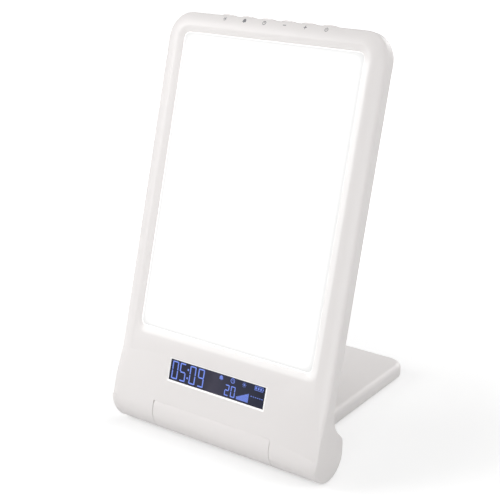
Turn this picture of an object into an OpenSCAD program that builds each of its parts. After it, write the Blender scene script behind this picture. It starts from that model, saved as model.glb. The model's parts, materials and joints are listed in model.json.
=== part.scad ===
// Light therapy lamp: a leaning, edge-lit light panel whose lower end swells into a hinge roll.
// A flat stand plate carries the middle knuckle of that roll and folds up against the panel's back.
// Millimetres, +Z up, +X to the right of the person in front of the lamp, +Y to the back.
// The origin is on the table, under the middle of the lamp's bounding box.

/* [Panel] */
// Width of the panel
panel_w = 160; // [156:1:168]
// Length of the panel from the hinge axis to its top edge
panel_l = 248; // [244:1:256]
// Thickness of the panel from the front plane to the flat of the back
panel_t = 18.5; // [17.6:0.1:18.8]
// Lean of the panel from upright, in degrees
lean = 15.2; // [12:0.1:20]
// Radius of the two top corners seen from the front
corner_r = 17; // [16.5:0.5:20]
// Width of the crowned zone along the sides and the top
crown_w = 10; // [8.5:0.5:11]
// How far the crowned zone falls back towards the edge
crown_drop = 3.3; // [2.4:0.1:3.6]
// Rounding between the crowned zone and the flat side band
edge_r = 1.2; // [0.6:0.1:1.6]
// Depth of the flat side band behind the crowned zone
band_d = 6.4; // [6.2:0.1:6.8]
// Width of the rounding of the back, seen from behind
back_round_w = 15.5; // [14:0.5:16.5]
// Wall thickness of the side walls and the rear cover
wall = 2.2; // [1.8:0.1:2.4]
// Wall thickness of the flat front
front_wall = 2.5; // [2.2:0.1:2.8]

/* [Light opening] */
// Width of the lit opening
opening_w = 131.4; // [126:0.2:133]
// Height of the lit opening
opening_h = 186.4; // [180:0.2:188]
// Rim left above the opening
opening_rim = 12.7; // [12.5:0.1:14]
// Corner radius of the opening
opening_r = 4; // [3:0.5:5]
// Width of the bevel round the opening
bevel_w = 4.3; // [3:0.1:4.6]
// Depth of the bevel at the opening's edge
bevel_d = 1.2; // [0.8:0.1:1.4]

/* [Display] */
// Width of the display window
display_w = 75.4; // [70:0.2:78]
// Height of the display window
display_h = 15.3; // [14:0.1:16]
// Height of the window's middle above the hinge axis, along the panel
display_v = 27.4; // [27:0.1:28.5]
// Chamfer round the window
display_chamfer = 0.8; // [0.4:0.1:1]
// How far the window's face lies below the front
display_recess = 0.5; // [0.3:0.1:0.9]

/* [Hinge roll] */
// Diameter of the hinge roll
roll_d = 30.4; // [30:0.2:31.4]
// Width of the stand's knuckle in the middle of the roll
knuckle_w = 90.4; // [86:0.2:92]
// Gap all round the knuckle
knuckle_gap = 0.3; // [0.2:0.05:0.4]
// Height of the seam above the knuckle on the front, over the hinge axis
seam_v = 4.2; // [3.9:0.1:5]
// Thickness of the roll's end cheeks
cheek_t = 3.4; // [3:0.1:4]
// Rounding of the roll's ends
roll_end_r = 1.6; // [1:0.1:2]
// Radius of the hollow between the side band and the roll
hollow_r = 18.4; // [16:0.2:20]
// Diameter of the hinge shafts
shaft_d = 6; // [5:0.2:7]

/* [Stand] */
// Reach of the stand plate behind the hinge axis
stand_reach = 162.5; // [150:0.5:175]
// Thickness of the stand plate
stand_t = 10.5; // [10:0.1:10.8]
// Taper of each long side of the plate, in degrees
stand_taper = 3.3; // [0:0.1:4]
// Corner radius of the plate seen from above
stand_corner_r = 12; // [9:0.5:16]
// Rounding of the plate's upper edge
stand_top_r = 3.8; // [3:0.1:4.2]
// Rounding of the plate's lower edge
stand_bottom_r = 3.2; // [2.6:0.1:3.6]
// Thickness of the plate's upper skin
stand_skin = 2.2; // [1.8:0.1:2.6]
// Thickness of the stand's base cover
base_t = 1.8; // [1.5:0.1:2.2]
// How far the feet stand out under the base
foot_proud = 0.6; // [0.4:0.1:1]
// Folding range of the stand, in degrees from the photographed pose
fold_range = 74.5; // [70:0.1:74.6]

/* [Keys] */
// Distance from key to key along the top edge
key_pitch = 14.8; // [14:0.1:16]
// Length of a key
key_w = 11; // [9:0.1:12]
// Width of a key, front to back
key_d = 4.2; // [3.6:0.1:4.4]
// Height of a key above the top edge
key_proud = 1; // [0.8:0.1:1.4]
// Travel of a key
key_travel = 0.5; // [0.3:0.05:0.6]
// Radius of the long crown of a key's top
key_crown_r = 18; // [16:1:26]

/* [Light engine] */
// Thickness of the diffuser's flange
diffuser_t = 1.5; // [1.2:0.1:1.6]
// Thickness of the light guide
guide_t = 3; // [2.5:0.1:3.2]
// Thickness of the reflector sheet
reflector_t = 0.4; // [0.3:0.05:0.5]
// Thickness of the metal back tray
tray_t = 0.8; // [0.6:0.1:1]
// How far the diffuser reaches under the rim on each side
flange_w = 4; // [3.5:0.1:4.2]
// Thickness of the lamp strips' boards
strip_t = 1; // [0.8:0.1:1.2]
// Lamps on each strip
led_count = 18; // [12:1:30]

/* [Power and control] */
// Thickness of the circuit boards
board_t = 1.6; // [1.2:0.1:1.8]
// Width of the control board
board_w = 108; // [100:1:110]
// Width of the battery pack
battery_w = 60; // [50:1:66]
// Length of the battery pack
battery_l = 96; // [80:1:110]
// Thickness of the battery pack
battery_t = 5.6; // [4:0.1:5.8]
// Diameter of the power socket's bore
socket_d = 6.2; // [6:0.1:6.6]
// Diameter of the power socket's centre pin
pin_d = 2; // [1.6:0.1:2.4]
// Length of the power socket's centre pin
pin_l = 7; // [6:0.1:7.4]

/* [Fits] */
// Gap between a piece and the opening that it sits in
fit = 0.15; // [0.1:0.01:0.2]
// Radial running clearance of the hinge shafts and the key plungers
running = 0.05; // [0.03:0.01:0.08]
// Gap between stacked inner pieces
stack_gap = 0.05; // [0.03:0.01:0.1]

/* [Colours] */
// Moulded plastic of the housing and the stand
shell_colour = "#ece9e6"; // ["#ece9e6":White, "#2b2b2d":Black]
// Lit diffuser
diffuser_colour = "#ffffff"; // ["#ffffff":White, "#fff6e6":Warm]
// Display glass
display_colour = "#14183c"; // ["#14183c":Blue, "#1d1d1f":Black]
// Circuit boards
board_colour = "#2d6b45"; // ["#2d6b45":Green, "#1f3f7a":Blue]
// Rubber
rubber_colour = "#3a3a3c"; // ["#3a3a3c":Dark, "#8c8c90":Grey]
// Plain steel
steel_colour = "#a9adb2"; // ["#a9adb2":Zinc, "#c8c2b4":Nickel]

/* [Hidden] */
// The panel is drawn lying on its back: X across, Y up the panel, Z out of the front,
// with the origin on the hinge axis.
roll_r = roll_d / 2;
front_z = roll_r;
back_z = front_z - panel_t;
parting_z = front_z - crown_drop - band_d;
half_w = panel_w / 2;
arc_steps = 6;
quarter_steps = 12;
$fn = 64;

// Sides of small round things that nothing shows, and of those that show a little
few = 8;
some = 12;

// Where the row stands on the table
axis_y = (roll_r - stand_reach) / 2;
axis_z = roll_r + foot_proud;

// Crown of the front: a circle that is flat at the inner ridge
crown_r = (crown_w * crown_w + crown_drop * crown_drop) / (2 * crown_drop);
crown_c = [crown_w, front_z - crown_r];
edge_c = [edge_r, crown_c[1] + sqrt(pow(crown_r - edge_r, 2) - pow(crown_w - edge_r, 2))];
edge_turn = atan2(edge_c[1] - crown_c[1], edge_c[0] - crown_c[0]);

// Rounding of the back: a circle that is flat where it meets the back
back_depth = parting_z - back_z;
back_r = (back_round_w * back_round_w + back_depth * back_depth) / (2 * back_depth);
back_c = [back_round_w, back_z + back_r];

// Ceiling of the hollow front: flat in the middle, one step lower under the crown
ceiling_z = front_z - front_wall;
step_z = ceiling_z - 1;
step_in = 0.68 * crown_w;

// Lit opening, from its lower to its upper edge
opening_v1 = panel_l - opening_rim;
opening_v0 = opening_v1 - opening_h;
opening_mid = (opening_v0 + opening_v1) / 2;

// Light engine, from the diffuser backwards
diffuser_w = opening_w + 2 * flange_w;
diffuser_h = opening_h + 2 * flange_w - 1;
guide_z = ceiling_z - diffuser_t - stack_gap;
guide_w = opening_w + 4.6;
guide_h = opening_h + 4;
reflector_z = guide_z - guide_t - stack_gap;
tray_z = reflector_z - reflector_t - stack_gap;
tray_back_z = tray_z - tray_t;
led_depth = 1.1;
strip_x = guide_w / 2 + 0.15 + led_depth;
tray_in = strip_x + strip_t + fit;
tray_rim_t = 0.8;
tray_h = guide_h + 2;
tray_r = 6;

// Hinge
notch_r = roll_r + knuckle_gap;
notch_x = knuckle_w / 2 + knuckle_gap;
notch_wall = 2.2;
shaft_r = shaft_d / 2;
shaft_hole_r = shaft_r + 0.6;
shaft_in = 26;
block_x = notch_x + notch_wall + 1.6;
block_w = 12.5;
block_r = shaft_r + 3.2;
block_plate_t = 2;
block_plate_z = block_r;
washer_t = 0.8;
washer_count = 2;
washer_r = shaft_r + 2.5;
washer_x = block_x + block_w + 0.2;
nut_x = washer_x + washer_count * (washer_t + 0.1) + 0.1;
nut_w = 2.8;
nut_r = shaft_r + 2.2;
around_shaft_r = (shaft_r + running / 2) / cos(180 / some);
shaft_out = nut_x + nut_w + 1.2;
block_screw_at = [[block_x + 2.9, 9.8], [block_x + block_w - 2.9, 9.8]];

// Hollow between the side band and the roll, in the plane of the roll's ends
hollow_c = [
    neat(sqrt(pow(roll_r + hollow_r, 2) - pow(hollow_r - parting_z, 2))), parting_z - hollow_r
];
cheek_x = half_w - cheek_t;
cheek_top = hollow_c[0] + 2;
cheek_gap = 0.1;
cap_gap = 0.05;
cap_turn = asin(cap_gap / roll_r);
cap_from = atan2(hollow_c[1], hollow_c[0]) - cap_turn;
cap_to = cap_turn - 270;
blend_v0 = seam_v;
blend_v1 = hollow_c[0] + 1;
fade_tilt = atan((crown_drop + 0.4) / (blend_v1 - blend_v0));

// Screws that hold the rear cover, and those that hold the tray
edge_boss_x = half_w - 5.6;
cover_screw_at = [[half_w - 13, 19.5], [half_w - 12.5, 42]];
tray_screw_at = [[edge_boss_x, 107], [edge_boss_x, 200]];
screw_r = 1.25;
pilot_r = screw_r + 0.05;
head_r = 2.4;
head_t = 1.5;
boss_r = 2.7;
cover_boss_r = 3.7;
cover_seat_z = parting_z - 2.2;

// Display stack, from the window backwards
window_flange = 1.8;
window_back_z = ceiling_z - 0.8;
lcd_w = display_w + 3.6;
lcd_h = display_h + 3;
lcd_t = 2;
lcd_z = window_back_z - stack_gap - lcd_t;
backlight_t = 2.4;
backlight_z = lcd_z - stack_gap - backlight_t;

// Control board
board_z1 = backlight_z - 0.6;
board_z0 = board_z1 - board_t;
board_v0 = notch_r + notch_wall + 0.6;
board_v1 = opening_v0 - 5.2;
board_screw_at = [[board_w / 2 - 3.2, board_v0 + 3.2], [board_w / 2 - 3.2, board_v1 - 3.2]];

// Power socket on the right of the chin, buzzer on its left
socket_at = [61.5, 34];
seat_gap = 0.15;
socket_z0 = back_z + wall + seat_gap;
socket_l = 9;
socket_size = [8.6, 8.6];
buzzer_at = [-62, 33];
buzzer_r = 4.2;
sound_at = 2.7;
buzzer_t = 3;

// Plugs on the control board, leads and the keys' ribbon
plug_x = 43;
plug_w = 6;
plug_t = 3.6;
lead_r = 0.6;
lead_pitch = 3;
ribbon_x = 53;
ribbon_w = 10;
ribbon_t = 0.3;

// Battery, between the tray and the rear cover
pad_t = 0.5;
battery_z1 = tray_back_z - 2 * stack_gap - pad_t;
battery_v0 = opening_v0 + 60;

// Keys, from the top edge inwards
KEYS = ["mode", "alarm", "timer", "minus", "plus", "power"];
key_z = parting_z + band_d / 2;
key_flange_t = 0.8;
key_flange = [key_w + 1.6, key_d + 1.4];
key_flange_v1 = panel_l - wall - 0.1;
key_stem_v = key_flange_v1 - key_flange_t - 0.7;
plunger_r = 1;
switch_size = [4.4, 4.4];
switch_v1 = key_stem_v - key_travel - 0.15;
key_board_t = 1;
switch_l = 1.9;
switch_floor = 0.4;
plunger_l = switch_l - switch_floor + 0.05;
key_board_v1 = switch_v1 - switch_l;
key_board_w = len(KEYS) * key_pitch + 4;
key_board_z = [3, step_z - 0.4];
key_rib_t = 2.4;

// Stand, drawn with its origin on the hinge axis, Y to the back and Z up
stand_z0 = -roll_r;
stand_z1 = stand_z0 + stand_t;
stand_side = knuckle_w / 2;
stand_corner_y = stand_reach - stand_corner_r;
stand_corner_x =
    neat(stand_side - tan(stand_taper) * stand_corner_y - stand_corner_r / cos(stand_taper));
function stand_x(y, inset) =
    neat(stand_side - tan(stand_taper) * y - inset / cos(stand_taper));
stand_wall = stand_bottom_r + 1;
base_in = stand_bottom_r + 0.6;
base_y0 = 2.5;
knuckle_wall = 2.4;
knuckle_end_wall = 2.2;
shaft_boss_r = shaft_r + 3.4;
foot_size = [16, 7];
foot_at = [[26, 9.5], [22, stand_reach - 13]];
foot_sink = 0.6;
stand_screw_at = [[33, 24], [30, stand_reach / 2 + 4], [20, stand_reach - 24]];
stand_boss_r = 3;
rib_t = 1.4;
rib_x = [-15, 0, 15];

// Snap tongues of the rear cover: their width, and their middles along the sides and the top
tongue_w = 9;
tongue_t = 1.2;
tongue_h = 3.6;
tongue_bump = 0.5;
tongue_side_v = [70, 132, 172, 222];
tongue_top_x = [-56, 56];

// ---- placing ----

// From the panel lying on its back to the leaning panel on the table
module leaning() {
    translate([0, axis_y, axis_z])
        rotate([90 - lean, 0, 0])
            children();
}

// From the stand's own frame to the table
module standing() {
    translate([0, axis_y, axis_z])
        children();
}

// The same thing on the right and, mirrored, on the left
module both_sides() {
    children();
    mirror([1, 0, 0])
        children();
}

// side is 1 on the right and -1 on the left
module on_side(side) {
    mirror([side < 0 ? 1 : 0, 0, 0])
        children();
}

// ---- drawing helpers ----

// Points are kept to a thousandth of a millimetre, so that pieces drawn from them meet exactly
function neat(value) = round(value * 1000) / 1000;
function on_arc(centre, r, angle) =
    [neat(centre[0] + r * cos(angle)), neat(centre[1] + r * sin(angle))];

// An arc's points, all of them, those without its first, and those between its ends
function arc(centre, r, from, to, steps = arc_steps) =
    [for (i = [0:steps]) on_arc(centre, r, from + (to - from) * i / steps)];
function arc_rest(centre, r, from, to, steps = arc_steps) =
    [for (i = [1:steps]) on_arc(centre, r, from + (to - from) * i / steps)];
function arc_inside(centre, r, from, to, steps = arc_steps) =
    [for (i = [1:steps - 1]) on_arc(centre, r, from + (to - from) * i / steps)];

// A profile in (Y, Z), drawn out along X
module along_x(x0, length) {
    translate([x0, 0, 0])
        rotate([90, 0, 90])
            linear_extrude(length)
                children();
}

// A profile in (X, -Z), drawn out along Y
module along_y(y0, length) {
    translate([0, y0, 0])
        rotate([-90, 0, 0])
            linear_extrude(length)
                children();
}

module rod_x(x0, length, r, sides = $fn) {
    translate([x0, 0, 0])
        rotate([0, 90, 0])
            cylinder(h = length, r = r, $fn = sides);
}

module rounded_rect(w, h, r) {
    square([w - 2 * r, h], center = true);
    square([w, h - 2 * r], center = true);
    for (x = [-1, 1], y = [-1, 1])
        translate([x * (w / 2 - r), y * (h / 2 - r)])
            circle(r = r);
}

module pill(length, width) {
    square([length - width, width], center = true);
    for (x = [-1, 1])
        translate([x * (length - width) / 2, 0])
            circle(d = width);
}

// A slab with rounded corners, its middle at (0, v), from z0 to z1
module slab(w, h, r, v, z0, z1) {
    translate([0, v, z0])
        linear_extrude(z1 - z0)
            rounded_rect(w, h, r);
}

// A profile (distance in from the edge, Z) swept up one side, round the top and down the other
module rim_sweep(v0, profile) {
    inward = [for (p = profile) [corner_r - p[0], p[1]]];
    down = [for (p = profile) [-p[0], p[1]]];
    both_sides() {
        translate([-half_w, panel_l - corner_r, 0])
            rotate([90, 0, 0])
                linear_extrude(panel_l - corner_r - v0)
                    polygon(profile);
        translate([half_w - corner_r, panel_l - corner_r, 0])
            rotate_extrude(angle = 90)
                polygon(inward);
    }
    translate([0, panel_l, 0])
        along_x(-(half_w - corner_r), panel_w - 2 * corner_r)
            polygon(down);
}

// The middle that the swept rim leaves open
module rim_middle(v0, z0, z1) {
    translate([-(half_w - corner_r), v0, z0])
        cube([panel_w - 2 * corner_r, panel_l - corner_r - v0, z1 - z0]);
}

// A small screw along +Z: its slotted head below z, its shank above
module screw(z, length) {
    difference() {
        translate([0, 0, z - head_t])
            cylinder(h = head_t, r = head_r, $fn = some);
        translate([-head_r * 0.7, -0.35, z - head_t - 1])
            cube([head_r * 1.4, 0.7, 1.7]);
    }
    translate([0, 0, z - 0.1])
        cylinder(h = length + 0.1, r = screw_r, $fn = few);
}

// ---- profiles of the two housing shells ----

edge_steps = 2;
crown_outline = concat(
    [[0, neat(edge_c[1])]],
    arc_rest(edge_c, edge_r, 180, edge_turn, edge_steps),
    arc_inside(crown_c, crown_r, edge_turn, 90),
    [[crown_w, front_z]]
);
front_inside = [
    [corner_r, front_z], [corner_r, ceiling_z], [step_in, ceiling_z],
    [step_in, step_z], [wall, step_z], [wall, parting_z]
];
front_profile = concat([[0, parting_z]], crown_outline, front_inside);
square_outline = concat(
    arc([roll_end_r, front_z - roll_end_r], roll_end_r, 180, 90, edge_steps),
    [for (i = [1:arc_steps]) [roll_end_r + (crown_w - roll_end_r) * i / arc_steps, front_z]]
);
square_profile = concat([[0, parting_z]], square_outline, front_inside);
back_turn = 180 + asin((back_r - back_depth) / back_r);
back_inner_turn = 180 + asin((back_c[1] - parting_z) / (back_r - wall));
back_inner_x = neat(back_c[0] + (back_r - wall) * cos(back_inner_turn));
rear_profile = concat(
    [[0, parting_z]],
    arc_inside(back_c, back_r, back_turn, 270),
    [[back_round_w, back_z], [corner_r, back_z], [corner_r, back_z + wall]],
    [[back_round_w, back_z + wall]],
    arc_inside(back_c, back_r - wall, 270, back_inner_turn),
    [[back_inner_x, parting_z]]
);

// ---- front bezel ----

// Lowest stretch of the edge: the crown's cut tilts out of it towards the roll.
// The tilted profile is drawn shorter, so that it meets the upright one exactly.
module crown_fade() {
    above = concat(
        [[-crown_w, -crown_drop - edge_r], [0, -crown_drop - edge_r]],
        [for (p = crown_outline) [p[0], p[1] - front_z]],
        [[crown_w + 4, 0], [crown_w + 4, crown_w], [-crown_w, crown_w]]
    );
    tilted = [for (p = above) [p[0], p[1] * cos(fade_tilt)]];
    difference() {
        translate([-half_w, blend_v1, 0])
            rotate([90, 0, 0])
                linear_extrude(blend_v1)
                    polygon(square_profile);
        intersection() {
            translate([-half_w, blend_v1, front_z])
                rotate([90 - fade_tilt, 0, 0])
                    translate([0, 0, -crown_w])
                        linear_extrude(blend_v1 + 2 * crown_w)
                            polygon(tilted);
            translate([-panel_w, -panel_w, 0])
                cube([panel_w, panel_w + blend_v1, panel_w]);
        }
    }
}

// End of the roll, with the hollow that leads up to the side band
hollow_turn = 180 - atan2(-hollow_c[1], hollow_c[0]);

module cheek() {
    along_x(cheek_x, cheek_t)
        polygon(concat(
            [[0, step_z], [cheek_top, step_z], [cheek_top, parting_z]],
            [[hollow_c[0], parting_z]],
            arc_rest(hollow_c, hollow_r, 90, hollow_turn),
            [[0, 0]]
        ));
}

// Disc that closes the roll's end, between the edges of the two cheeks
module roll_cap(side) {
    color(shell_colour)
        leaning()
            on_side(side)
                along_x(cheek_x + cap_gap, cheek_t - cap_gap)
                    polygon(concat(
                        arc([0, 0], roll_r, cap_from, cap_to, 4 * quarter_steps),
                        [[-cap_gap, -cap_gap]]
                    ));
}

module ring(r0, r1) {
    difference() {
        circle(r = r1);
        circle(r = r0);
    }
}

// Front and lower quarter of the roll beside the knuckle
module front_roll_skin() {
    along_x(notch_x, cheek_x - notch_x)
        intersection() {
            ring(roll_r - wall, roll_r);
            translate([-roll_d, 0])
                square(roll_d);
        }
}

// Wall behind the knuckle
module front_notch_wall() {
    along_x(-notch_x - notch_wall, 2 * (notch_x + notch_wall))
        intersection() {
            ring(notch_r, notch_r + notch_wall);
            translate([seam_v, parting_z])
                square([roll_d, ceiling_z - parting_z + 0.5]);
        }
}

// Wall beside the knuckle, with half of the shaft's hole
module front_notch_end() {
    along_x(notch_x, notch_wall)
        difference() {
            union() {
                intersection() {
                    circle(r = roll_r);
                    translate([-roll_d, 0])
                        square(roll_d);
                }
                intersection() {
                    circle(r = notch_r + notch_wall);
                    translate([0, parting_z])
                        square([roll_d, ceiling_z - parting_z + 0.5]);
                }
            }
            circle(r = shaft_hole_r);
        }
}

module opening_cut() {
    slab(opening_w, opening_h, opening_r, opening_mid, ceiling_z - 1, front_z + 1);
    rise = 0.5;
    run = bevel_w * (bevel_d + rise) / bevel_d;
    translate([0, opening_mid, 0]) {
        along_x(-(opening_w / 2 - opening_r), opening_w - 2 * opening_r)
            polygon([
                [-opening_h / 2, front_z - bevel_d], [opening_h / 2, front_z - bevel_d],
                [opening_h / 2 + run, front_z + rise], [-opening_h / 2 - run, front_z + rise]
            ]);
        along_y(-(opening_h / 2 - opening_r), opening_h - 2 * opening_r)
            polygon([
                [-opening_w / 2, bevel_d - front_z], [opening_w / 2, bevel_d - front_z],
                [opening_w / 2 + run, -front_z - rise], [-opening_w / 2 - run, -front_z - rise]
            ]);
        for (x = [-1, 1], y = [-1, 1])
            translate([x * (opening_w / 2 - opening_r), y * (opening_h / 2 - opening_r), 0])
                rotate_extrude()
                    polygon([
                        [0, front_z - bevel_d], [opening_r, front_z - bevel_d],
                        [opening_r + run, front_z + rise], [0, front_z + rise]
                    ]);
    }
}

module display_cut() {
    translate([-display_w / 2, display_v - display_h / 2, ceiling_z - 1])
        cube([display_w, display_h, front_wall + 2]);
    c = display_chamfer;
    translate([0, display_v, 0]) {
        along_x(-display_w / 2, display_w)
            polygon([
                [-display_h / 2, front_z - c], [display_h / 2, front_z - c],
                [display_h / 2 + c + 0.5, front_z + 0.5], [-display_h / 2 - c - 0.5, front_z + 0.5]
            ]);
        along_y(-display_h / 2, display_h)
            polygon([
                [-display_w / 2, c - front_z], [display_w / 2, c - front_z],
                [display_w / 2 + c + 0.5, -front_z - 0.5],
                [-display_w / 2 - c - 0.5, -front_z - 0.5]
            ]);
    }
}

module at_keys() {
    for (i = [0:len(KEYS) - 1])
        translate([key_x(i), 0, key_z])
            children();
}

function key_x(i) = (i - (len(KEYS) - 1) / 2) * key_pitch;

// Posts on the front's inside: rear cover, tray and control board screw to them
module front_bosses() {
    both_sides() {
        for (p = cover_screw_at)
            translate([p[0], p[1], parting_z])
                cylinder(h = ceiling_z - parting_z, r = boss_r, $fn = few);
        for (p = tray_screw_at)
            translate([p[0], p[1], tray_z])
                cylinder(h = ceiling_z - tray_z, r = boss_r, $fn = few);
        for (p = board_screw_at)
            translate([p[0], p[1], board_z1])
                cylinder(h = ceiling_z - board_z1 + 0.2, r = boss_r, $fn = few);
        for (p = block_screw_at)
            translate([p[0], p[1], block_plate_z + block_plate_t])
                cylinder(h = ceiling_z - block_plate_z - block_plate_t + 0.2, r = boss_r, $fn = few);
    }
}

module front_pilots() {
    both_sides() {
        for (p = cover_screw_at)
            translate([p[0], p[1], parting_z - 1])
                cylinder(h = 6.5, r = pilot_r, $fn = few);
        for (p = tray_screw_at)
            translate([p[0], p[1], tray_z - 1])
                cylinder(h = 5, r = pilot_r, $fn = few);
        for (p = board_screw_at)
            translate([p[0], p[1], board_z1 - 1])
                cylinder(h = 6, r = pilot_r, $fn = few);
        for (p = block_screw_at)
            translate([p[0], p[1], block_plate_z])
                cylinder(h = block_plate_t + 3.4, r = pilot_r, $fn = few);
    }
}

// Ribs that hold the ends of the key board
module key_ribs() {
    both_sides()
        difference() {
            translate([key_board_w / 2 - 1, key_board_v1 - key_board_t - 1.5, parting_z])
                cube([key_rib_t, panel_l - wall / 2 - key_board_v1 + key_board_t + 1.5,
                    step_z - parting_z + 0.5]);
            translate([0, key_board_v1 - key_board_t - fit, 0])
                cube([key_board_w / 2 + fit, key_board_t + 2 * fit, step_z + 0.1]);
        }
}

module front_bezel() {
    color(shell_colour)
        leaning()
            difference() {
                union() {
                    rim_sweep(blend_v1, front_profile);
                    rim_middle(0, ceiling_z, front_z);
                    both_sides() {
                        crown_fade();
                        cheek();
                        front_roll_skin();
                        front_notch_end();
                    }
                    front_notch_wall();
                    front_bosses();
                    key_ribs();
                }
                opening_cut();
                display_cut();
                front_pilots();
                snap_tongues(fit);
                rod_x(-notch_x, 2 * notch_x, notch_r);
                translate([-notch_x, -roll_d, -roll_d])
                    cube([2 * notch_x, roll_d + seam_v, 2 * roll_d]);
                at_keys()
                    along_y(panel_l - wall - 1, wall + 2)
                        pill(key_w + 2 * fit, key_d + 2 * fit);
            }
}

// ---- rear cover ----

// A tongue that stands on the cover's rim and snaps into a pocket of the bezel's wall.
// grow is 0 for the tongue and the clearance for its pocket.
module tongue(grow) {
    x0 = wall + fit - grow;
    bump_z = parting_z + tongue_h - 1.4;
    linear_extrude(tongue_w + 2 * grow, center = true)
        polygon([
            [x0, parting_z - 1.5], [x0 + tongue_t + 2 * grow, parting_z - 1.5],
            [x0 + tongue_t + 2 * grow, parting_z + tongue_h + grow], [x0, parting_z + tongue_h + grow],
            [x0 - tongue_bump, bump_z + grow], [x0 - tongue_bump, bump_z - 0.4 - grow],
            [x0, bump_z - 0.9 - grow]
        ]);
}

module snap_tongues(grow) {
    both_sides()
        for (v = tongue_side_v)
            translate([-half_w, v, 0])
                rotate([90, 0, 0])
                    tongue(grow);
    for (x = tongue_top_x)
        translate([x, panel_l, 0])
            rotate([90, 0, -90])
                tongue(grow);
}

module rear_roll_skin() {
    along_x(notch_x, cheek_x - cheek_gap - notch_x)
        intersection() {
            ring(roll_r - wall, roll_r);
            translate([-roll_d, -roll_d])
                square([2 * roll_d, roll_d]);
        }
}

module rear_notch_wall() {
    along_x(-notch_x - notch_wall, 2 * (notch_x + notch_wall))
        intersection() {
            ring(notch_r, notch_r + notch_wall);
            translate([0, back_z])
                square([roll_d, back_depth]);
        }
}

module rear_notch_end() {
    along_x(notch_x, notch_wall)
        difference() {
            union() {
                intersection() {
                    circle(r = roll_r);
                    translate([-roll_d, -roll_d])
                        square([2 * roll_d, roll_d]);
                }
                intersection() {
                    circle(r = notch_r + notch_wall);
                    translate([0, back_z])
                        square([roll_d, back_depth]);
                }
            }
            circle(r = shaft_hole_r);
        }
}

// Fills the hollow beside the cheek, between the back and the roll
module rear_gusset() {
    along_x(cheek_x - cheek_gap - 7, 7)
        polygon(concat(
            [[hollow_c[0], parting_z]],
            arc_rest(hollow_c, hollow_r, 90, hollow_turn),
            [[roll_r - wall, parting_z]]
        ));
}

module rear_cover() {
    color(shell_colour)
        leaning()
            difference() {
                union() {
                    difference() {
                        union() {
                            rim_sweep(roll_r - wall, rear_profile);
                            rim_middle(roll_r - wall, back_z, back_z + wall);
                            both_sides()
                                for (p = cover_screw_at)
                                    translate([p[0], p[1], back_z + wall / 2])
                                        cylinder(h = back_depth - wall / 2, r = cover_boss_r,
                                            $fn = some);
                            snap_tongues(0);
                        }
                        both_sides()
                            translate([cheek_x - cheek_gap, 0, -roll_d])
                                cube([cheek_t + 1, cheek_top, 2 * roll_d]);
                        rod_x(-notch_x, 2 * notch_x, notch_r);
                    }
                    both_sides() {
                        rear_roll_skin();
                        rear_notch_end();
                        rear_gusset();
                    }
                    rear_notch_wall();
                }
                both_sides()
                    for (p = cover_screw_at)
                        translate([p[0], p[1], 0]) {
                            translate([0, 0, back_z - 1])
                                cylinder(h = cover_seat_z - back_z + 1, r = head_r + 0.3);
                            translate([0, 0, back_z])
                                cylinder(h = back_depth + 1, r = screw_r + fit, $fn = few);
                        }
                translate([socket_at[0], socket_at[1], back_z - 1])
                    cylinder(h = wall + 2, d = socket_d + 1.8);
                translate([buzzer_at[0], buzzer_at[1], back_z - 1])
                    for (a = [0:120:240])
                        rotate(a)
                            translate([sound_at, 0, 0])
                                cylinder(h = wall + 2, r = 0.9, $fn = few);
            }
}

// ---- light engine ----

module diffuser_plate() {
    color(diffuser_colour)
        leaning() {
            slab(diffuser_w, diffuser_h, opening_r + 2, opening_mid,
                ceiling_z - diffuser_t, ceiling_z);
            slab(opening_w - 2 * fit, opening_h - 2 * fit, opening_r - fit, opening_mid,
                ceiling_z - stack_gap, front_z - bevel_d - 0.1);
        }
}

module light_guide() {
    color("#e8f2f5")
        leaning()
            slab(guide_w, guide_h, 1, opening_mid, guide_z - guide_t, guide_z);
}

module reflector_sheet() {
    color("#f7f7f5")
        leaning()
            slab(guide_w, guide_h, 1, opening_mid, reflector_z - reflector_t, reflector_z);
}

// Shallow metal pan behind the guide, with ears for its screws and pressed stiffening beads
module back_tray() {
    color(steel_colour)
        leaning() {
            difference() {
                union() {
                    slab(2 * (tray_in + tray_rim_t), tray_h, tray_r, opening_mid,
                        tray_back_z, tray_z);
                    both_sides()
                        for (p = tray_screw_at)
                            translate([tray_in, p[1], tray_back_z])
                                linear_extrude(tray_t)
                                    ear_plan(p[0] - tray_in);
                }
                both_sides()
                    for (p = tray_screw_at)
                        translate([p[0], p[1], tray_back_z - 1])
                            cylinder(h = tray_t + 2, r = screw_r + fit, $fn = few);
            }
            both_sides()
                translate([tray_in, opening_mid - tray_h / 2 + tray_r, tray_back_z])
                    cube([tray_rim_t, tray_h - 2 * tray_r, guide_z - tray_back_z]);
        }
}

// Ear plan: a square strip that ends in a round
module ear_plan(reach) {
    translate([0, -boss_r])
        square([reach, 2 * boss_r]);
    translate([reach, 0])
        circle(r = boss_r, $fn = some);
}

module led_strip(side) {
    color("#f2f2ee")
        leaning()
            on_side(side)
                translate([strip_x, opening_mid - guide_h / 2, guide_z - guide_t])
                    cube([strip_t, guide_h, guide_t]);
}

module leds(side) {
    pitch = guide_h / led_count;
    color("#ffe9a8")
        leaning()
            on_side(side)
                for (i = [0:led_count - 1])
                    translate([strip_x - led_depth, opening_mid - guide_h / 2 + (i + 0.5) * pitch - 1.4,
                        guide_z - guide_t + 0.3])
                        cube([led_depth, 2.8, guide_t - 0.6]);
}

module tray_screws() {
    color(steel_colour)
        leaning()
            both_sides()
                for (p = tray_screw_at)
                    translate([p[0], p[1], 0])
                        screw(tray_back_z, 4);
}

// ---- display ----

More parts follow.
